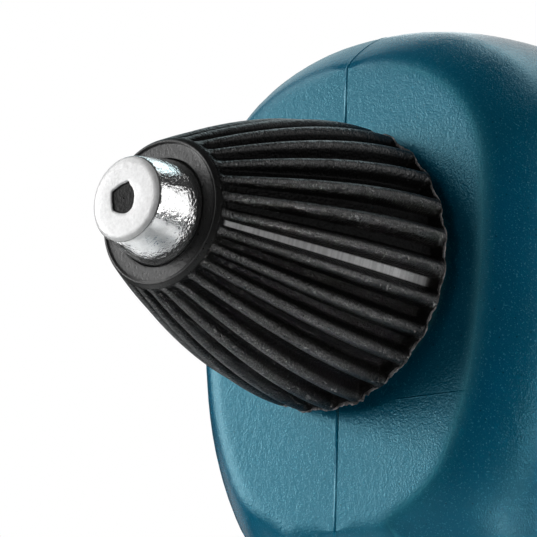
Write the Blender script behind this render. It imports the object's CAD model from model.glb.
import math

import bmesh
import bpy
import numpy as np
from mathutils import Matrix, Vector


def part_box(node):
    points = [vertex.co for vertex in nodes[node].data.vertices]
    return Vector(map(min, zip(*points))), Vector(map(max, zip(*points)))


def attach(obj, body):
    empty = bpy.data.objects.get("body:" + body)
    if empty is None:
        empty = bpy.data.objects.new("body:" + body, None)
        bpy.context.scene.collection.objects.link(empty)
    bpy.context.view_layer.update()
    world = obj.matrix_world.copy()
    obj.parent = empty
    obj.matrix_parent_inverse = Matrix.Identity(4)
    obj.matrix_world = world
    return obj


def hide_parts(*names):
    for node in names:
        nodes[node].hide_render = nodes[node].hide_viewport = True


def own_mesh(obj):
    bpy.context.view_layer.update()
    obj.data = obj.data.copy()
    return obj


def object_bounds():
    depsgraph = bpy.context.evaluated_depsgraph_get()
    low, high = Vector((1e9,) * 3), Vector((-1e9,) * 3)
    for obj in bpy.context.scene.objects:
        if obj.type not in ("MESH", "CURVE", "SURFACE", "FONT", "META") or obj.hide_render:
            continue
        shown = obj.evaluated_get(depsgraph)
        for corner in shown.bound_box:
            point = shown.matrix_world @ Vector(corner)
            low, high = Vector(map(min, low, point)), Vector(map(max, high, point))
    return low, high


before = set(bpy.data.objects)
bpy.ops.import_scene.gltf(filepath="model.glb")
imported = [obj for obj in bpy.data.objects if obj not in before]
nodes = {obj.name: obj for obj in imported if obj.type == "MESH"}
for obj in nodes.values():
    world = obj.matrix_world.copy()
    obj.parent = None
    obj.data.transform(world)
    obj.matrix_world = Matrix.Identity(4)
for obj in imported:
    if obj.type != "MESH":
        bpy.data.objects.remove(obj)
cad_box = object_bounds()

TURN = 2 * math.pi

# The script's own frame, in millimetres: u behind the nozzle tip, y to the right, w over the nozzle axis
nozzle_low, nozzle_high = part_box("nozzle")
ORIGIN = (1000 * nozzle_low.x, 0, 500 * (nozzle_low.z + nozzle_high.z))
CRISP = 0.1  # from a sharp corner to the row of points that keeps its shading crisp

# Nozzle: outer form from the tip back
NOZZLE_LENGTH = 28.0
NOZZLE_COLUMNS = 240
TIP_EXPOSED = 5.0  # length of the nozzle in front of the cover
TIP_FACE = 3.25  # radius of the flat front
TIP_CROWN = 0.02
TIP_SHORT = 0.22  # the cast tip ends this far behind its plain form
TIP_HIGH = 0.2  # and sits this far over the axis
TIP_RIM_DEPTH = 0.6
TIP_RIM_WIDTH = 0.8
TIP_RIM_TURN = 80.0  # degrees
TIP_RIM_STEPS = 8
TIP_RIM_DULL_STEPS = 5
SIDE_FRONT = 0.8
SIDE_ROWS = 14
SIDE_RADIUS = 3.95
SIDE_TAPER = 0.19  # radius gained in a millimetre
SIDE_WOBBLE = 0.012
CONE_RADIUS = 4.9
CONE_TAPER = 0.2167
COLLAR_FRONT = 11.0
COLLAR_RADIUS = 6.2
HEXAGON_FRONT = 13.0
HEXAGON_REAR = 20.0
HEXAGON_ACROSS = 14.0
HEXAGON_END_RADIUS = 7.1  # its end faces, inside the broken corners
HEXAGON_BREAK_RADIUS = 7.9
HEXAGON_BREAK_DEPTH = 0.6
STUB_ROOT = 5.1
THREAD_RADIUS = 4.82
THREAD_DEPTH = 0.17
THREAD_PITCH = 1.25
THREAD_LENGTH = 7.4
THREAD_STEPS = 48
STUB_CHAMFER = 0.2
STUB_END_RADIUS = 4.5

# Nozzle: passage and orifice
SEAT_FRONT = 24.0
SEAT_RADIUS = 3.4
BORE_FRONT = 7.0
BORE_RADIUS = 2.75
FUNNEL_LENGTH = 3.0
ORIFICE_REAR = 3.8
ORIFICE_RIGHT = 0.26
ORIFICE_UP = 0.12
ORIFICE_LIP = 0.1
ORIFICE_SCALE = 0.95
ORIFICE_SMOOTHINGS = 4
ORIFICE_DEGREES = (8, 30, 50, 74, 97, 112, 130, 160, 197, 225, 250, 275, 300, 318, 340)
ORIFICE_RADII = (1.37, 1.55, 1.33, 1.3, 1.38, 1.6, 1.36, 1.36, 1.42, 1.62, 1.62, 1.48, 1.46, 1.56, 1.33)
GLUE_FRONT = 0.2
GLUE_REAR = 0.5
GLUE_PINHOLE = 0.06

# Cover
COVER_FRONT = TIP_EXPOSED
COVER_LENGTH = 25.1
COVER_REAR = COVER_FRONT + COVER_LENGTH
COVER_FRONT_RADIUS = 6.83
COVER_RIM_RADIUS = 14.0
COVER_FULLNESS = 1.69  # exponent of the bell-shaped outline
COVER_SKIN = 1.8  # deeper than any groove
COVER_HOLE = 5.02
COVER_HOLE_FRONT = COVER_FRONT + 0.2  # where the hole's rounded edge begins
COVER_HOLE_ROUND = 0.14
COVER_RING_DEPTH = 0.06  # the flat ring lies this far behind COVER_FRONT
COVER_RIM_ROUND = 0.16
COVER_RIM_DROP = 0.3
COVER_RIM_STEPS = 6
RIM_SCALLOP = 0.2
RIBS = 27
RIB_COLUMNS = 24
RIB_FULLNESS = 0.75
FIRST_GROOVE = math.radians(194.0)
GROOVE_FLOOR = 0.17  # half its width, as a share of the ribs' pitch
GROOVE_DEPTH = 0.28
GROOVE_GAIN = 1.15
GROOVE_GROWTH = 4  # how soon the grooves reach their full depth
GROOVE_RIM_FILL = 0.68  # share of their depth that they lose at the rim
STRIPE_DEGREES = 1.75  # half the width of the pale groove floor
STRIPE_SOFT_DEGREES = 0.35

# Inside of the cover, place and radius: rim cavity, room for the hexagon and the collar, hole
COVER_INSIDE = (
    (COVER_REAR - 0.1, 11.0),
    (COVER_REAR - 0.2, 11.0),
    (26.2, 11.0),
    (26.1, 10.95),
    (HEXAGON_REAR, 8.75),
    (HEXAGON_REAR - CRISP, 8.7),
    (HEXAGON_REAR - CRISP, 8.2),
    (HEXAGON_REAR - 2 * CRISP, 8.18),
    (HEXAGON_FRONT, 8.18),
    (HEXAGON_FRONT - CRISP, 8.16),
    (HEXAGON_FRONT - CRISP, 6.35),
    (HEXAGON_FRONT - 2 * CRISP, 6.3),
    (COLLAR_FRONT, 6.3),
    (6.6, 5.34),
    (5.6, 5.1),
    (COVER_HOLE_FRONT, COVER_HOLE),
)

# Front ring of the cover, radius and lift: flat, then a thin raised edge
COVER_RING = (
    (5.2, 0.0),
    (5.5, 0.0),
    (5.9, 0.0),
    (6.3, 0.0),
    (6.42, 0.02),
    (6.5, 0.1),
    (6.58, 0.13),
    (6.68, 0.12),
    (6.76, 0.05),
    (6.81, -0.06),
)

# Flash round the cover's rim
FLASH_COLUMNS = 48  # for each rib
FLASH_INSET = 0.12
FLASH_WIDTH = 0.11
FLASH_LEAST = 0.05
FLASH_FINE = 0.04  # its fine and its coarser fraying
FLASH_COARSE = 0.07
TUFT_ANGLE = math.radians(254.0)  # where the flash is widest
TUFT_DEGREES = 7.0
TUFT_WIDTH = 0.35

# Section of the flash: place before the cover's rear end, inset from its outline, share of the fray
FLASH_SECTION = (
    (0.15, 0.5, 0.0),
    (0.2, 0.1, 0.0),
    (0.24, 0.0, 0.6),
    (0.2, 0.0, 1.0),
    (0.12, 0.0, 1.0),
    (0.04, 0.0, 0.55),
    (0.0, 0.1, 0.0),
    (0.0, 0.5, 0.0),
)

# Springs: ends, coil and wire radius, turns, height over the nozzle axis
RETURN_SPRING = dict(start=101.886, end=118.686, radius=3.3, wire=0.4, turns=7, level=-15.5)
VALVE_SPRING = dict(start=BORE_FRONT, end=20.26, radius=1.9, wire=0.25, turns=6, level=0.0)
SPRING_SIDES = 14
SPRING_STEPS = 48  # in a turn

# Bead in the shells' joint line; its section is place across the seam and height over the shells
SEAM_GAP = 0.2
SEAM_TOLERANCE = 0.002
BEAD_SECTION = (
    (-0.25, -0.02),
    (-0.16, 0.012),
    (-0.07, 0.04),
    (0.0, 0.048),
    (0.07, 0.04),
    (0.16, 0.012),
    (0.25, -0.02),
)

# Mould mark on the left shell's face, as spans in the part's frame
MARK_X = (-68.0, -65.0)
MARK_Y = (-14.4, -7.6)
MARK_Z = (118.74, 118.86)

# Sizes of the surfaces' detail
SHELL_GRAIN = 0.17
SHELL_EDGE = 0.0024  # how far the shells' edges are rounded, in metres
SHELL_SEAM_EDGE = 0.00002  # the same beside the joint line
CLOUD = 14.0
PAD_RIB_PITCH = 3.2
PAD_RIB_DEPTH = 0.35

# Camera: angles in degrees, aim in the script's frame, distance in metres
VIEW_AZIMUTH = -50.72
VIEW_ELEVATION = -13.81
VIEW_ROLL = 1.82
VIEW_AIM = (15, 0, 0)
VIEW_RIGHT = 3.68  # millimetres from the aim to the picture's centre
VIEW_UP = -2.93
VIEW_DISTANCE = 0.3
VIEW_LENS = 216.99
VIEW_SENSOR = 36

# Studio, in metres and degrees
LAMP_DISTANCE = 0.8
LAMP_AIM = (-0.06, 0, 0.13)  # front of the object
ALL_ROUND = 180
WHITE = (1, 1, 1)
COOL = (0.78, 1.0, 1.05)
FLOOR_HALF = 1
FLOOR_FADE = (0.19, 0.27)
FLOOR_GLOW = 0.62
WORLD_SEEN = 1.0
WORLD_REFLECTED = 0.03


def place(points):
    """Points (u, y, w) of the script's frame, in the part's frame in metres."""
    return (np.asarray(points, float) + ORIGIN) / 1000


def new_object(name, data):
    """Object with that data, in the scene."""
    made = bpy.data.objects.new(name, data)
    bpy.context.scene.collection.objects.link(made)
    return made


def grid_object(name, rows, closed=False):
    """Smooth surface through rows that close on themselves; closed joins the last row to the first."""
    rows = np.asarray(rows, float)
    count, columns = rows.shape[:2]
    row = np.arange(count if closed else count - 1)[:, None]
    column = np.arange(columns)[None, :]
    after = (row + 1) % count
    beside = (column + 1) % columns
    corners = [
        row * columns + column,
        row * columns + beside,
        after * columns + beside,
        after * columns + column,
    ]
    faces = np.stack(corners, -1).reshape(-1, 4)
    mesh = bpy.data.meshes.new(name)
    mesh.from_pydata(place(rows.reshape(-1, 3)).tolist(), [], faces.tolist())
    mesh.polygons.foreach_set("use_smooth", [True] * len(mesh.polygons))
    mesh.update()
    return new_object(name, mesh)


def paint_points(made, name, values):
    """Stores one number per point of a piece, for its material."""
    attribute = made.data.attributes.new(name, "FLOAT", "POINT")
    attribute.data.foreach_set("value", np.asarray(values, np.float32).ravel())


class Rings:
    """Rows of points round the nozzle axis, for a surface that is nearly a turned one."""

    def __init__(self, columns):
        self.angles = TURN * np.arange(columns) / columns
        self.rows = []

    def add(self, u, radius, right=0.0, up=0.0):
        """A ring at u; radius may differ round the turn, and right and up move the ring off the axis."""
        shape = self.angles.shape
        radius = np.broadcast_to(radius, shape)
        across = radius * np.cos(self.angles) + right
        over = radius * np.sin(self.angles) + up
        self.rows.append(np.stack([np.broadcast_to(u, shape), across, over], 1))


def ease(share):
    """Share from 0 to 1 that starts and ends gently."""
    share = np.clip(share, 0, 1)
    return share * share * (3 - 2 * share)


def apart(angles, other):
    """Degrees between directions, at most half a turn."""
    return np.degrees(np.abs((angles - other + math.pi) % TURN - math.pi))


def wobble(angles, seed, low, high):
    """Smooth random ring of numbers, about -1 to 1, from waves low to high round the turn."""
    draw = np.random.default_rng(seed)
    total = np.zeros_like(angles)
    for wave in range(low, high + 1):
        total += draw.normal() * np.sin(wave * angles + draw.uniform(0, TURN))
    return total / math.sqrt(high - low + 1)


def grey(value):
    return (value, value, value)


class Finish:
    """A material and short ways to add nodes to it. Textures follow the piece's own coordinates."""

    SOCKETS = {
        "colour": "Base Color",
        "rough": "Roughness",
        "metal": "Metallic",
        "gloss": "Specular IOR Level",
        "tint": "Specular Tint",
        "alpha": "Alpha",
        "normal": "Normal",
    }
    NOISE_LOW = 0.3  # most of a noise lies between these
    NOISE_HIGH = 0.7
    TURNED = 0.965  # cosines of how far a softened edge turns the surface
    FLAT = 0.995

    def __init__(self, name):
        self.material = bpy.data.materials.new(name)
        self.material.use_nodes = True
        self.tree = self.material.node_tree
        self.shader = self.tree.nodes["Principled BSDF"]
        self.where = self.add("ShaderNodeTexCoord").outputs["Object"]

    def add(self, kind, **values):
        node = self.tree.nodes.new(kind)
        for key, value in values.items():
            setattr(node, key, value)
        return node

    def link(self, start, end):
        self.tree.links.new(start, end)

    def fill(self, socket, value):
        """Gives a socket a number or colour, or links it to another node's output."""
        if hasattr(value, "is_linked"):
            self.link(value, socket)
        else:
            socket.default_value = value

    def noise(self, size, detail=2.0, rough=0.55, stretch=None):
        """Noise whose features are about size millimetres; stretch scales its coordinates."""
        node = self.add("ShaderNodeTexNoise")
        where = self.where
        if stretch:
            mapping = self.add("ShaderNodeMapping")
            mapping.inputs["Scale"].default_value = stretch
            self.link(where, mapping.inputs["Vector"])
            where = mapping.outputs["Vector"]
        self.link(where, node.inputs["Vector"])
        node.inputs["Scale"].default_value = 1000 / size
        node.inputs["Detail"].default_value = detail
        node.inputs["Roughness"].default_value = rough
        return node.outputs["Fac"]

    def cells(self, size):
        """Distance from the middle of cells that are about size millimetres wide."""
        node = self.add("ShaderNodeTexVoronoi")
        self.link(self.where, node.inputs["Vector"])
        node.inputs["Scale"].default_value = 1000 / size
        return node.outputs["Distance"]

    def scale(self, value, low, high, to_low, to_high):
        """The range from low to high, scaled to run from to_low to to_high and held there outside it."""
        node = self.add("ShaderNodeMapRange")
        self.fill(node.inputs["Value"], value)
        node.inputs["From Min"].default_value = low
        node.inputs["From Max"].default_value = high
        node.inputs["To Min"].default_value = to_low
        node.inputs["To Max"].default_value = to_high
        return node.outputs["Result"]

    def spread(self, noise, low, high):
        """Most of a noise, scaled to run from low to high."""
        return self.scale(noise, self.NOISE_LOW, self.NOISE_HIGH, low, high)

    def math(self, operation, first, second=0.0):
        node = self.add("ShaderNodeMath", operation=operation)
        self.fill(node.inputs[0], first)
        self.fill(node.inputs[1], second)
        return node.outputs["Value"]

    def times(self, first, second):
        return self.math("MULTIPLY", first, second)

    def mix(self, share, first, second):
        """Colour that goes from first to second as share goes from 0 to 1."""
        node = self.add("ShaderNodeMix", data_type="RGBA")
        self.fill(node.inputs["Factor"], share)
        sockets = [socket for socket in node.inputs if socket.type == "RGBA"]
        for socket, colour in zip(sockets, (first, second)):
            self.fill(socket, colour if hasattr(colour, "is_linked") else (*colour, 1))
        return [socket for socket in node.outputs if socket.type == "RGBA"][0]

    def along(self, axis):
        """One of the piece's own coordinates, in millimetres."""
        node = self.add("ShaderNodeSeparateXYZ")
        self.link(self.where, node.inputs["Vector"])
        return self.times(node.outputs[axis], 1000.0)

    def window(self, axis, low, high, soft):
        """1 between two coordinates in millimetres, 0 outside them."""
        value = self.along(axis)
        begin = self.scale(value, low - soft, low + soft, 0, 1)
        end = self.scale(value, high - soft, high + soft, 1, 0)
        return self.times(begin, end)

    def far(self):
        """Distance from the piece's own origin, in metres."""
        node = self.add("ShaderNodeVectorMath", operation="LENGTH")
        self.link(self.where, node.inputs[0])
        return node.outputs["Value"]

    def attribute(self, name):
        return self.add("ShaderNodeAttribute", attribute_name=name).outputs["Fac"]

    def bump(self, height, depth, under=None):
        """Relief of depth millimetres from a height of 0 to 1, on top of the normals under it."""
        node = self.add("ShaderNodeBump")
        node.inputs["Distance"].default_value = depth / 1000
        self.link(height, node.inputs["Height"])
        if under is not None:
            self.link(under, node.inputs["Normal"])
        return node.outputs["Normal"]

    def soft_edges(self, radius):
        """Normals that turn over edges as if these were rounded by radius metres."""
        node = self.add("ShaderNodeBevel", samples=6)
        self.fill(node.inputs["Radius"], radius)
        return node.outputs["Normal"]

    def edges(self, softened):
        """1 along the edges that soft_edges rounds, 0 away from them."""
        node = self.add("ShaderNodeVectorMath", operation="DOT_PRODUCT")
        self.link(softened, node.inputs[0])
        self.link(self.add("ShaderNodeNewGeometry").outputs["Normal"], node.inputs[1])
        return self.scale(node.outputs["Value"], self.TURNED, self.FLAT, 1.0, 0.0)

    def set(self, **values):
        """Fills the shader's sockets and gives the finished material."""
        for key, value in values.items():
            self.fill(self.shader.inputs[self.SOCKETS[key]], value)
        return self.material


def moulded(name, colour, lighter, rough, grain, depth):
    """Moulded plastic with a fine spark-eroded grain and a slightly cloudy colour."""
    finish = Finish(name)
    fine = finish.noise(grain, rough=0.6)
    coarse = finish.noise(grain * 3.1, detail=1.0)
    cloud = finish.spread(finish.noise(CLOUD, detail=3.0), 0.0, 1.0)
    relief = finish.bump(fine, depth)
    relief = finish.bump(coarse, depth * 0.7, relief)
    return finish.set(
        colour=finish.mix(cloud, colour, lighter),
        rough=finish.spread(fine, rough - 0.06, rough + 0.08),
        normal=relief,
    )


def shell_finish():
    """Petrol-blue shells: leathery spark-eroded grain, soft edges and a faint mould mark on the face."""
    finish = Finish("petrol_plastic")
    across = finish.along("Y")

    # Cloudy colour with dark pits and pale specks
    cloud = finish.spread(finish.noise(CLOUD, detail=3.0), 0.0, 1.0)
    pits = finish.scale(finish.cells(1.1), 0.05, 0.11, 0.6, 0.0)
    specks = finish.scale(finish.noise(SHELL_GRAIN, detail=1.0), 0.62, 0.72, 0.0, 0.8)
    shade = finish.mix(cloud, (0.0006, 0.105, 0.186), (0.0010, 0.113, 0.199))
    shade = finish.mix(pits, shade, (0.0, 0.03, 0.05))
    shade = finish.mix(specks, shade, (0.04, 0.26, 0.37))

    # Edges that are soft away from the joint line, and worn paler towards the left
    from_seam = finish.math("ABSOLUTE", across)
    relief = finish.soft_edges(finish.scale(from_seam, 0.5, 2.6, SHELL_SEAM_EDGE, SHELL_EDGE))
    worn = finish.times(finish.edges(relief), finish.scale(across, -9.0, -3.0, 0.8, 0.1))
    shade = finish.mix(worn, shade, (0.04, 0.32, 0.42))

    # Grain, deeper towards the left, and the mould mark
    fine = finish.noise(SHELL_GRAIN, detail=1.5, rough=0.5)
    deeper = finish.scale(across, -14.0, 0.0, 1.0, 0.45)
    mark = finish.times(finish.window("Z", *MARK_Z, soft=0.05), finish.window("Y", *MARK_Y, soft=0.9))
    mark = finish.times(mark, finish.window("X", *MARK_X, soft=0.4))
    relief = finish.bump(finish.noise(0.7, detail=1.0), 0.02, relief)
    relief = finish.bump(finish.times(fine, deeper), 0.05, relief)
    relief = finish.bump(mark, 0.06, relief)
    return finish.set(
        colour=shade,
        rough=finish.spread(fine, 0.12, 0.20),
        gloss=0.75,
        tint=(0.30, 0.84, 1.0, 1.0),
        normal=relief,
    )


def pad_finish():
    """Soft grip inlays with moulded cross ribs and a fine grain."""
    finish = Finish("grip_rubber")
    fine = finish.noise(0.35, detail=3.0, rough=0.65)
    wave = finish.math("SINE", finish.times(finish.along("Z"), TURN / PAD_RIB_PITCH))
    ribs = finish.scale(wave, -0.35, 0.35, 0.0, 1.0)
    relief = finish.bump(ribs, PAD_RIB_DEPTH)
    relief = finish.bump(fine, 0.03, relief)
    return finish.set(
        colour=finish.mix(ribs, (0.008, 0.008, 0.009), (0.020, 0.020, 0.021)),
        rough=finish.spread(fine, 0.5, 0.7),
        gloss=0.4,
        normal=relief,
    )


def rubber(name, colour, lighter, rough, grain, depth):
    """Dull rubber with a granular surface and paler specks."""
    finish = Finish(name)
    fine = finish.noise(grain, detail=3.0, rough=0.65)
    specks = finish.scale(finish.noise(grain * 1.7, rough=0.7), 0.58, 0.72, 0.0, 1.0)
    return finish.set(
        colour=finish.mix(specks, colour, lighter),
        rough=finish.spread(fine, rough - 0.1, rough + 0.1),
        gloss=0.4,
        normal=finish.bump(fine, depth),
    )


def metal(name, colour, darker, rough, grain, depth, stretch=None):
    """Metal with fine scratches or cast grain, and duller patches."""
    finish = Finish(name)
    patches = finish.noise(3.2, detail=4.0, rough=0.6)
    fine = finish.noise(grain, detail=3.0, rough=0.6, stretch=stretch)
    return finish.set(
        colour=finish.mix(finish.scale(patches, 0.35, 0.7, 0.0, 1.0), colour, darker),
        rough=finish.spread(fine, rough - 0.08, rough + 0.1),
        metal=1.0,
        normal=finish.bump(fine, depth),
    )


# Name, two colours, roughness, size of the grain, its depth and, where it is drawn out, its stretch
moulded_kinds = (
    ("ceramic", (0.60, 0.55, 0.44), (0.68, 0.63, 0.53), 0.7, 0.5, 0.02),
    ("insulator", (0.62, 0.59, 0.51), (0.70, 0.67, 0.60), 0.6, 0.6, 0.02),
    ("black_plastic", (0.011, 0.011, 0.012), (0.018, 0.018, 0.019), 0.4, 0.5, 0.02),
    ("grey_plastic", (0.075, 0.078, 0.082), (0.095, 0.098, 0.102), 0.38, 0.7, 0.01),
    ("red_plastic", (0.42, 0.012, 0.010), (0.50, 0.020, 0.016), 0.28, 0.9, 0.006),
)
rubber_kinds = (
    ("black_rubber", grey(0.010), grey(0.022), 0.55, 0.3, 0.03),
    ("silicone", (0.30, 0.055, 0.030), (0.38, 0.085, 0.050), 0.45, 0.8, 0.01),
)
metal_kinds = (
    ("cast_aluminium", grey(0.50), grey(0.36), 0.42, 0.5, 0.03),
    ("brass", (0.62, 0.44, 0.17), (0.48, 0.31, 0.11), 0.26, 0.5, 0.008, (0.05, 1, 1)),
    ("steel", (0.48, 0.48, 0.49), (0.34, 0.34, 0.35), 0.27, 0.35, 0.006),
)
finishes = {"petrol_plastic": shell_finish(), "grip_rubber": pad_finish()}
for make, kinds in ((moulded, moulded_kinds), (rubber, rubber_kinds), (metal, metal_kinds)):
    for kind in kinds:
        finishes[kind[0]] = make(*kind)

# Which finish each piece carried over from the solids has
carried = {
    "petrol_plastic": ["housing_left", "housing_right"],
    "grip_rubber": ["grip_pad_left", "grip_pad_right"],
    "black_rubber": ["cord_gland"],
    "cast_aluminium": ["melt_chamber"],
    "brass": ["valve_seat"],
    "steel": ["housing_screws", "valve_ball", "sleeve_clip", "jaw", "jaw_pin", "trigger_pin", "clamp_screws"],
    "ceramic": ["heater"],
    "insulator": ["front_collar", "rear_support"],
    "silicone": ["inlet_sleeve"],
    "black_plastic": ["trigger", "stick_guide", "switch_body"],
    "grey_plastic": ["carriage", "cord_clamp"],
    "red_plastic": ["switch_rocker"],
}
for slot, names in carried.items():
    for name in names:
        mesh = nodes[name].data
        mesh.materials.clear()
        mesh.materials.append(finishes[slot])


def orifice(angles):
    """Radius of the orifice as cast: an uneven outline round a point beside the axis."""
    hole = np.interp(angles, np.radians(ORIFICE_DEGREES), ORIFICE_RADII, period=TURN)
    for _ in range(ORIFICE_SMOOTHINGS):
        hole = (np.roll(hole, 1) + 2 * hole + np.roll(hole, -1)) / 4
    return ORIFICE_SCALE * hole


def hexagon(angles, across):
    """Radius of a hexagon round the turn."""
    half = math.pi / 6
    return across / 2 / np.cos((angles + half) % (2 * half) - half)


def nozzle_skin():
    """Nozzle with a rough-edged orifice, rounded tip, taper, hexagon and threaded stub."""
    rings = Rings(NOZZLE_COLUMNS)
    angles = rings.angles
    rows = rings.rows
    hole = orifice(angles)

    def ring(u, radius, shift=0.0):
        """Ring that shift moves to the orifice's centre; the exposed tip sits a little high and short."""
        front = max(0.0, 1 - u / TIP_EXPOSED)
        up = ORIFICE_UP * shift + TIP_HIGH * front
        rings.add(u + TIP_SHORT * front, radius, ORIFICE_RIGHT * shift, up)

    # Passage from the rear end to the orifice
    for u in (NOZZLE_LENGTH, NOZZLE_LENGTH - CRISP, SEAT_FRONT + CRISP, SEAT_FRONT):
        ring(u, SEAT_RADIUS)
    for u in (SEAT_FRONT, SEAT_FRONT - CRISP, BORE_FRONT + CRISP, BORE_FRONT):
        ring(u, BORE_RADIUS)
    for share in (0.25, 0.5, 0.75):
        ring(BORE_FRONT - FUNNEL_LENGTH * share, BORE_RADIUS + (hole - BORE_RADIUS) * share, share)

    # Orifice with glue left in it and a pinhole through the glue, then its worn lip
    for u, radius in (
        (ORIFICE_REAR, hole),
        (GLUE_REAR + 0.02, hole),
        (GLUE_REAR, GLUE_PINHOLE),
        (GLUE_FRONT + 0.02, GLUE_PINHOLE),
        (GLUE_FRONT, GLUE_PINHOLE + 0.02),
        (GLUE_FRONT, 2 * GLUE_PINHOLE),
        (GLUE_FRONT, 0.9 * hole),
        (GLUE_FRONT, hole),
        (0.13, hole + 0.01),
        (0.05, hole + 0.04),
        (0.0, hole + ORIFICE_LIP),
    ):
        ring(u, radius, 1.0)
    bored = len(rows) - 2

    # Tip face, a little crowned, then its rounded rim
    for share in (0.1, 0.3, 0.55, 0.8, 0.94):
        radius = hole + ORIFICE_LIP + (TIP_FACE - hole - ORIFICE_LIP) * share
        ring(-TIP_CROWN * math.sin(math.pi * share), radius, 1 - share)
    ring(0.0, TIP_FACE)
    tipped = len(rows) + TIP_RIM_DULL_STEPS
    for step in range(1, TIP_RIM_STEPS + 1):
        turn = math.radians(TIP_RIM_TURN * step / TIP_RIM_STEPS)
        ring(TIP_RIM_DEPTH * (1 - math.cos(turn)), TIP_FACE + TIP_RIM_WIDTH * math.sin(turn))

    # Uneven side of the exposed tip, then the cone under the cover and the collar
    for u in np.linspace(SIDE_FRONT, TIP_EXPOSED, SIDE_ROWS):
        seed = int(u * 40)
        uneven = SIDE_WOBBLE * wobble(angles, seed, 2, 9)
        ring(u, SIDE_RADIUS + SIDE_TAPER * u + uneven)
    for u in (6.5, 8.5, 10.5):
        ring(u, CONE_RADIUS + (u - TIP_EXPOSED) * CONE_TAPER)
    for u in (COLLAR_FRONT, COLLAR_FRONT + 0.3, HEXAGON_FRONT - CRISP, HEXAGON_FRONT):
        ring(u, COLLAR_RADIUS)

    # Hexagon with broken corners
    flats = hexagon(angles, HEXAGON_ACROSS)
    end = np.minimum(flats, HEXAGON_END_RADIUS)
    broken = np.minimum(flats, HEXAGON_BREAK_RADIUS)
    for u, radius in (
        (HEXAGON_FRONT, COLLAR_RADIUS + CRISP),
        (HEXAGON_FRONT, end),
        (HEXAGON_FRONT + HEXAGON_BREAK_DEPTH, broken),
        (HEXAGON_FRONT + 1.5 * HEXAGON_BREAK_DEPTH, flats),
        (HEXAGON_REAR - 1.5 * HEXAGON_BREAK_DEPTH, flats),
        (HEXAGON_REAR - HEXAGON_BREAK_DEPTH, broken),
        (HEXAGON_REAR, end),
        (HEXAGON_REAR, STUB_ROOT),
    ):
        ring(u, radius)

    # Thread on the stub
    for step in range(THREAD_STEPS + 1):
        u = HEXAGON_REAR + CRISP + THREAD_LENGTH * step / THREAD_STEPS
        ring(u, THREAD_RADIUS + THREAD_DEPTH * np.cos(TURN * u / THREAD_PITCH - angles))
    ring(NOZZLE_LENGTH - STUB_CHAMFER, STUB_END_RADIUS + STUB_CHAMFER)
    ring(NOZZLE_LENGTH, STUB_END_RADIUS)

    made = grid_object("nozzle_skin", rows, closed=True)
    order = np.repeat(np.arange(len(rows)), NOZZLE_COLUMNS)
    paint_points(made, "tip", (order >= bored) & (order < tipped))
    paint_points(made, "bore", order < bored)
    return made


def nozzle_finish():
    """Plated metal, mottled by the casting's grain, with a dull tip and glue in the orifice."""
    finish = Finish("plated_metal")
    grain = finish.noise(0.34, rough=0.6)
    lumps = finish.noise(1.1, rough=0.6)
    tip = finish.attribute("tip")
    bore = finish.attribute("bore")
    dull = finish.math("MAXIMUM", tip, bore)
    plated = finish.mix(finish.scale(lumps, 0.35, 0.7, 0.0, 1.0), grey(0.84), grey(0.66))
    tipped = finish.mix(finish.scale(grain, 0.35, 0.65, 0.0, 1.0), grey(0.80), grey(0.90))
    outside = finish.mix(tip, plated, tipped)
    polish = finish.spread(grain, 0.07, 0.15)
    shallower = finish.scale(tip, 0.0, 1.0, 1.0, 0.25)
    relief = finish.bump(lumps, 0.03)
    relief = finish.bump(finish.times(grain, shallower), 0.06, relief)
    return finish.set(
        colour=finish.mix(bore, outside, grey(0.01)),
        rough=finish.math("MAXIMUM", polish, finish.times(dull, 0.34)),
        metal=finish.scale(dull, 0.0, 1.0, 0.92, 0.16),
        gloss=finish.scale(bore, 0.0, 1.0, 0.5, 0.1),
        normal=relief,
    )


def cover_radius(share):
    """Radius of the bell over the ribs' crests, at a share of its length."""
    rise = 1 - (1 - np.clip(share, 0, 1)) ** COVER_FULLNESS
    return COVER_FRONT_RADIUS + (COVER_RIM_RADIUS - COVER_FRONT_RADIUS) * rise


def rib_height(angles):
    """Height across the ribs, 0 on the groove floors and 1 on the crests."""
    pitch = TURN / RIBS
    across = np.abs((angles - FIRST_GROOVE + pitch / 2) % pitch - pitch / 2) / pitch
    rise = np.clip((across - GROOVE_FLOOR) / (0.5 - GROOVE_FLOOR), 0, 1)
    return np.sin(rise * math.pi / 2) ** RIB_FULLNESS


def groove_depth(share):
    """Depth of the grooves at a share of the bell: none at the front ring, and shallow again at the rim."""
    begin = ease((share - 0.012) / 0.05)
    end = ease((share - 0.962) / 0.03)
    grown = GROOVE_DEPTH + GROOVE_GAIN * (1 - (1 - share) ** GROOVE_GROWTH)
    return grown * begin * (1 - GROOVE_RIM_FILL * end)


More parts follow.
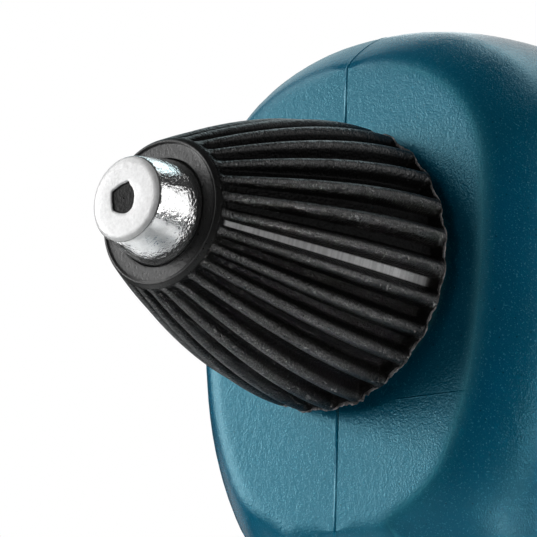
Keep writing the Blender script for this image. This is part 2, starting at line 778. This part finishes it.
def cover_skin():
    """Ribbed heat-proof sleeve: flat front ring, bell of rounded ribs, scalloped rim and hollow back."""
    rings = Rings(RIBS * RIB_COLUMNS)
    ribs = rib_height(rings.angles)

    # Inside, from the rim's cavity forward to the rounded edge of the hole, then the front ring
    for u, radius in COVER_INSIDE:
        rings.add(u, radius)
    for turn in np.radians([25, 50, 75]):
        u = COVER_HOLE_FRONT - COVER_HOLE_ROUND * math.sin(turn)
        rings.add(u, COVER_HOLE + COVER_HOLE_ROUND * (1 - math.cos(turn)))
    for radius, lift in COVER_RING:
        rings.add(COVER_FRONT + COVER_RING_DEPTH - lift, radius)

    # Bell of ribs, with closer rows at both of its ends
    front = np.linspace(0.008, 0.1, 20)[:-1]
    middle = np.linspace(0.1, 0.96, 52)
    rear = np.linspace(0.9625, 0.9935, 12)
    for share in (*front, *middle, *rear):
        radius = cover_radius(share) - groove_depth(share) * (1 - ribs)
        rings.add(COVER_FRONT + COVER_LENGTH * share, radius)

    # Rounded rim, a little scalloped, then the rear face
    rim = COVER_RIM_RADIUS - RIM_SCALLOP * (1 - ribs)
    for step in range(1, COVER_RIM_STEPS + 1):
        turn = math.pi / 2 * step / COVER_RIM_STEPS
        u = COVER_REAR - COVER_RIM_ROUND * (1 - math.sin(turn))
        rings.add(u, rim - COVER_RIM_DROP * (1 - math.cos(turn)))
    for radius in (13.0, 12.0, 11.3):
        rings.add(COVER_REAR, radius)

    made = grid_object("cover_skin", rings.rows, closed=True)
    paint_cover(made, rings.rows, ribs)
    return made


def paint_cover(made, rows, ribs):
    """Marks the front ring, the ribs' crests and the one groove whose smooth floor catches the light."""
    points = np.concatenate(rows)
    turn = np.arctan2(points[:, 2], points[:, 1])
    share = (points[:, 0] - COVER_FRONT) / COVER_LENGTH
    outside = np.hypot(points[:, 1], points[:, 2]) >= cover_radius(share) - COVER_SKIN
    ring = ease((0.02 - share) / 0.01)

    # The pale floor ends softly, brightens towards the rear and dims again before the rim
    stripe = 1 - ease((apart(turn, FIRST_GROOVE) - STRIPE_DEGREES) / STRIPE_SOFT_DEGREES)
    stripe *= ease((share - 0.035) / 0.02) * (1 - ease((share - 0.955) / 0.02))
    stripe *= (0.55 + 0.45 * share) * (1 - 0.6 * ease((share - 0.8) / 0.13))
    paint_points(made, "stripe", stripe * outside)
    paint_points(made, "ring", ring)
    paint_points(made, "crest", np.tile(ribs, len(rows)) * outside * (1 - ring))


def cover_finish():
    """Black heat-proof rubber: dark grooves, granular ribs with a worn sheen, one pale groove floor."""
    finish = Finish("cover_rubber")
    ring = finish.attribute("ring")
    crest = finish.scale(finish.attribute("crest"), 0.58, 1.0, 0.0, 1.0)
    grain = finish.noise(0.24, detail=1.0, rough=0.5)
    specks = finish.scale(finish.noise(0.16, rough=0.75), 0.50, 0.66, 0.0, 1.0)
    wear = finish.scale(finish.noise(2.4, detail=3.0, rough=0.6), 0.32, 0.62, 0.2, 1.0)
    worn = finish.times(finish.times(crest, specks), wear)
    sheen = finish.math("ADD", finish.scale(crest, 0.0, 1.0, 0.05, 0.6), finish.times(worn, 0.9))
    base = finish.mix(ring, finish.mix(worn, grey(0.003), grey(0.09)), grey(0.012))
    streaks = finish.noise(0.3, detail=1.0, rough=0.5, stretch=(1.0, 0.05, 0.05))
    pale = finish.mix(finish.scale(streaks, 0.4, 0.6, 0.0, 1.0), grey(0.74), grey(0.95))
    shallower = finish.scale(ring, 0.0, 1.0, 1.0, 0.25)
    return finish.set(
        colour=finish.mix(finish.attribute("stripe"), base, pale),
        rough=finish.spread(grain, 0.27, 0.42),
        gloss=finish.math("MAXIMUM", sheen, finish.times(ring, 0.45)),
        normal=finish.bump(finish.times(grain, shallower), 0.11),
    )


def cover_flash():
    """Thin frayed flash left round the cover's rim by the mould, with a wider tuft below."""
    rings = Rings(RIBS * FLASH_COLUMNS)
    angles = rings.angles
    outline = COVER_RIM_RADIUS - FLASH_INSET - RIM_SCALLOP * (1 - rib_height(angles))
    fray = FLASH_WIDTH + FLASH_FINE * wobble(angles, 3, 30, 140) + FLASH_COARSE * wobble(angles, 8, 5, 24)
    fray = np.clip(fray, FLASH_LEAST, 0.6)
    tuft = TUFT_WIDTH * np.exp(-((apart(angles, TUFT_ANGLE) / TUFT_DEGREES) ** 2))
    fray = fray + tuft * (0.6 + 0.5 * wobble(angles, 11, 60, 160))
    fray = np.clip(fray, FLASH_LEAST, 0.8)
    for before, inset, share in FLASH_SECTION:
        rings.add(COVER_REAR - before, outline - inset + fray * share)
    return grid_object("cover_flash", rings.rows, closed=True)


def flash_finish():
    """Thin torn rubber, pale in patches."""
    finish = Finish("cover_flash")
    patches = finish.noise(0.8, detail=4.0, rough=0.7)
    torn = finish.scale(patches, 0.42, 0.64, 0.0, 1.0)
    return finish.set(
        colour=finish.mix(torn, (0.07, 0.067, 0.067), (0.56, 0.53, 0.53)),
        rough=finish.spread(patches, 0.5, 0.75),
        normal=finish.bump(patches, 0.05),
    )


def spring_skin(name, start, end, radius, wire, turns, level):
    """Round-wire compression spring with closed ends."""
    steps = SPRING_STEPS * turns
    share = np.arange(steps + 1) / steps
    angle = TURN * turns * share
    along = start + wire + (end - start - 2 * wire) * share
    centre = np.stack([along, radius * np.cos(angle), level + radius * np.sin(angle)], 1)

    # Directions along the wire, out of the coil and across both
    ahead = np.gradient(centre, axis=0)
    ahead /= np.linalg.norm(ahead, axis=1)[:, None]
    out = np.stack([np.zeros_like(angle), np.cos(angle), np.sin(angle)], 1)
    out -= ahead * np.sum(out * ahead, 1)[:, None]
    out /= np.linalg.norm(out, axis=1)[:, None]
    side = np.cross(ahead, out)

    around = TURN * np.arange(SPRING_SIDES) / SPRING_SIDES
    rows = [np.repeat(centre[:1], SPRING_SIDES, 0)]
    for point, one, two in zip(centre, out, side):
        rows.append(point + wire * (np.cos(around)[:, None] * one + np.sin(around)[:, None] * two))
    rows.append(np.repeat(centre[-1:], SPRING_SIDES, 0))
    made = grid_object(name, rows)
    made.data.materials.append(finishes["steel"])
    return made


def seam_face():
    """Left shell's face on the joint plane: points (x, z), triangles, outer edges, ways out at the points."""
    mesh = nodes["housing_left"].data
    points = np.array([vertex.co for vertex in mesh.vertices]) * 1000
    on_seam = np.abs(points[:, 1] + SEAM_GAP / 2) < SEAM_TOLERANCE
    outline, same = np.unique(points[:, [0, 2]].round(4), axis=0, return_inverse=True)
    same = same.ravel()
    corners = [list(face.vertices) for face in mesh.polygons]
    triangles = [same[three] for three in corners if on_seam[three].all()]

    # An outer edge belongs to one triangle alone
    sides = {}
    for triangle in triangles:
        for turn in range(3):
            start, end, third = np.roll(triangle, -turn)
            sides.setdefault(frozenset((start, end)), []).append((start, end, third))
    edges = [found[0] for found in sides.values() if len(found) == 1]

    out = np.zeros_like(outline)
    for start, end, third in edges:
        along = outline[end] - outline[start]
        normal = np.array([along[1], -along[0]])
        out[[start, end]] += normal if normal @ (outline[third] - outline[start]) < 0 else -normal
    out /= np.maximum(np.linalg.norm(out, axis=1), 1e-9)[:, None]
    return outline, triangles, edges, out


def seam_bead():
    """Thin bead that closes the joint line of the two shells and stands a little proud of it."""
    outline, triangles, edges, out = seam_face()
    rows = []
    for across, proud in BEAD_SECTION:
        moved = outline + proud * out
        rows.append(np.stack([moved[:, 0], np.full(len(moved), across), moved[:, 1]], 1))
    inside_box = np.clip(np.concatenate(rows) / 1000, *np.array(cad_box))

    # Both flanks, then the strips between the rows
    count = len(outline)
    last = count * (len(BEAD_SECTION) - 1)
    faces = triangles + [triangle[::-1] + last for triangle in triangles]
    for low in range(0, last, count):
        high = low + count
        faces += [(start + low, end + low, end + high, start + high) for start, end, _ in edges]

    shape = bmesh.new()
    corners = [shape.verts.new(point) for point in inside_box]
    for face in faces:
        shape.faces.new([corners[int(index)] for index in face]).smooth = True
    unused = [corner for corner in shape.verts if not corner.link_faces]
    bmesh.ops.delete(shape, geom=unused, context="VERTS")
    bmesh.ops.recalc_face_normals(shape, faces=shape.faces)
    mesh = bpy.data.meshes.new("seam_bead")
    shape.to_mesh(mesh)
    shape.free()
    mesh.materials.append(finishes["petrol_plastic"])
    return new_object("seam_bead", mesh)


nozzle = nozzle_skin()
nozzle.data.materials.append(nozzle_finish())
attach(nozzle, "housing")
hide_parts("nozzle")

cover = cover_skin()
cover.data.materials.append(cover_finish())
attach(cover, "housing")
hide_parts("nozzle_cover")

flash = cover_flash()
flash.data.materials.append(flash_finish())
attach(flash, "housing")

bead = seam_bead()
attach(bead, "housing")

coil = spring_skin("return_spring_wire", **RETURN_SPRING)
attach(coil, "housing")
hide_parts("return_spring")
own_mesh(coil)

drip = spring_skin("valve_spring_wire", **VALVE_SPRING)
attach(drip, "housing")
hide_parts("valve_spring")
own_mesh(drip)


def camera():
    """Long lens close to the photo's view: from the front, the left and a little below."""
    azimuth = math.radians(VIEW_AZIMUTH)
    elevation = math.radians(VIEW_ELEVATION)
    roll = math.radians(VIEW_ROLL)
    back = Vector((
        math.sin(azimuth) * math.cos(elevation),
        -math.cos(azimuth) * math.cos(elevation),
        math.sin(elevation),
    ))
    right = Vector((math.cos(azimuth), math.sin(azimuth), 0))
    up = back.cross(right)
    across = math.cos(roll) * right + math.sin(roll) * up
    over = -math.sin(roll) * right + math.cos(roll) * up
    target = Vector(place(VIEW_AIM)) + (VIEW_RIGHT * right + VIEW_UP * up) / 1000
    eye = target + VIEW_DISTANCE * back
    lens = bpy.data.cameras.new("camera")
    lens.lens = VIEW_LENS
    lens.sensor_width = VIEW_SENSOR
    lens.clip_start = 0.01
    made = new_object("camera", lens)
    made.matrix_world = Matrix((
        (across.x, over.x, back.x, eye.x),
        (across.y, over.y, back.y, eye.y),
        (across.z, over.z, back.z, eye.z),
        (0, 0, 0, 1),
    ))
    bpy.context.scene.camera = made


def floor():
    """Pale floor that fades out: nearly white to the camera, and dim where the object reflects it."""
    corners = [(FLOOR_HALF * x, FLOOR_HALF * y, 0) for x, y in ((-1, -1), (1, -1), (1, 1), (-1, 1))]
    mesh = bpy.data.meshes.new("floor")
    mesh.from_pydata(corners, [], [(0, 1, 2, 3)])
    finish = Finish("floor")
    finish.set(
        colour=finish.mix(finish.noise(300.0), grey(0.78), grey(0.82)),
        rough=0.8,
        alpha=finish.scale(finish.far(), *FLOOR_FADE, 1.0, 0.0),
    )
    seen = finish.add("ShaderNodeLightPath").outputs["Is Camera Ray"]
    finish.shader.inputs["Emission Color"].default_value = (*grey(FLOOR_GLOW), 1)
    finish.link(seen, finish.shader.inputs["Emission Strength"])
    mesh.materials.append(finish.material)
    new_object("floor", mesh)


def surroundings():
    """White to the camera, and dim where the object reflects them."""
    world = bpy.data.worlds.new("studio")
    bpy.context.scene.world = world
    world.use_nodes = True
    tree = world.node_tree
    tree.nodes.clear()
    out = tree.nodes.new("ShaderNodeOutputWorld")
    mix = tree.nodes.new("ShaderNodeMixShader")
    path = tree.nodes.new("ShaderNodeLightPath")
    tree.links.new(path.outputs["Is Camera Ray"], mix.inputs["Fac"])
    for socket, strength in ((1, WORLD_REFLECTED), (2, WORLD_SEEN)):
        background = tree.nodes.new("ShaderNodeBackground")
        background.inputs["Color"].default_value = (*WHITE, 1)
        background.inputs["Strength"].default_value = strength
        tree.links.new(background.outputs["Background"], mix.inputs[socket])
    tree.links.new(mix.outputs["Shader"], out.inputs["Surface"])


def softbox(
    name, azimuth, elevation, size, radiance,
    distance=LAMP_DISTANCE, aim=LAMP_AIM, spread=ALL_ROUND, colour=WHITE,
):
    """Rectangular lamp that looks at a point, from an azimuth in degrees from +X towards +Y.

    A lamp with a narrow spread lights surfaces but doesn't show in reflections.
    """
    azimuth = math.radians(azimuth)
    elevation = math.radians(elevation)
    level = math.cos(elevation)
    direction = Vector((math.cos(azimuth) * level, math.sin(azimuth) * level, math.sin(elevation)))
    wide, tall = size
    lamp = bpy.data.lights.new(name, "AREA")
    lamp.shape = "RECTANGLE"
    lamp.size = wide
    lamp.size_y = tall
    lamp.energy = radiance * math.pi * wide * tall
    lamp.spread = math.radians(spread)
    lamp.color = colour
    made = new_object(name, lamp)
    made.location = Vector(aim) + distance * direction
    made.rotation_mode = "QUATERNION"
    made.rotation_quaternion = direction.to_track_quat("Z", "Y")
    made.visible_camera = False
    made.visible_glossy = spread == ALL_ROUND


def lamps():
    """Softboxes all round, and two narrow lamps that light the floor."""
    softbox("key", 120, 8, (0.42, 0.42), 6.2)
    softbox("key_front", 148, 10, (0.42, 0.42), 2.0)
    softbox("key_top", 122, 41, (0.50, 0.36), 2.3)
    softbox("left", -68, 9, (0.58, 0.72), 1.45)
    softbox("left_low", -88, -19, (0.08, 0.06), 6.0, distance=0.35)
    softbox("left_top", -52, 64, (0.26, 0.20), 1.0)
    softbox("rear_top", 5, 58, (0.40, 0.26), 2.0, colour=COOL)
    softbox("rear", 20, 34, (0.50, 0.36), 0.75)
    softbox("right_top", 50, 38, (0.42, 0.42), 0.62, colour=COOL)
    softbox("right_low", 67, -3, (0.40, 0.20), 0.3)
    softbox("front", 180, 12, (0.20, 0.30), 1.5)
    softbox("floor_left", 0, 90, (0.02, 0.02), 270.0, distance=0.2, aim=(-0.04, -0.11, 0.0), spread=24)
    softbox("floor_right", 0, 90, (0.16, 0.16), 2.0, distance=0.5, aim=(0.0, 0.14, 0.0), spread=40)


camera()
floor()
surroundings()
lamps()
bpy.context.scene.view_settings.view_transform = "Standard"
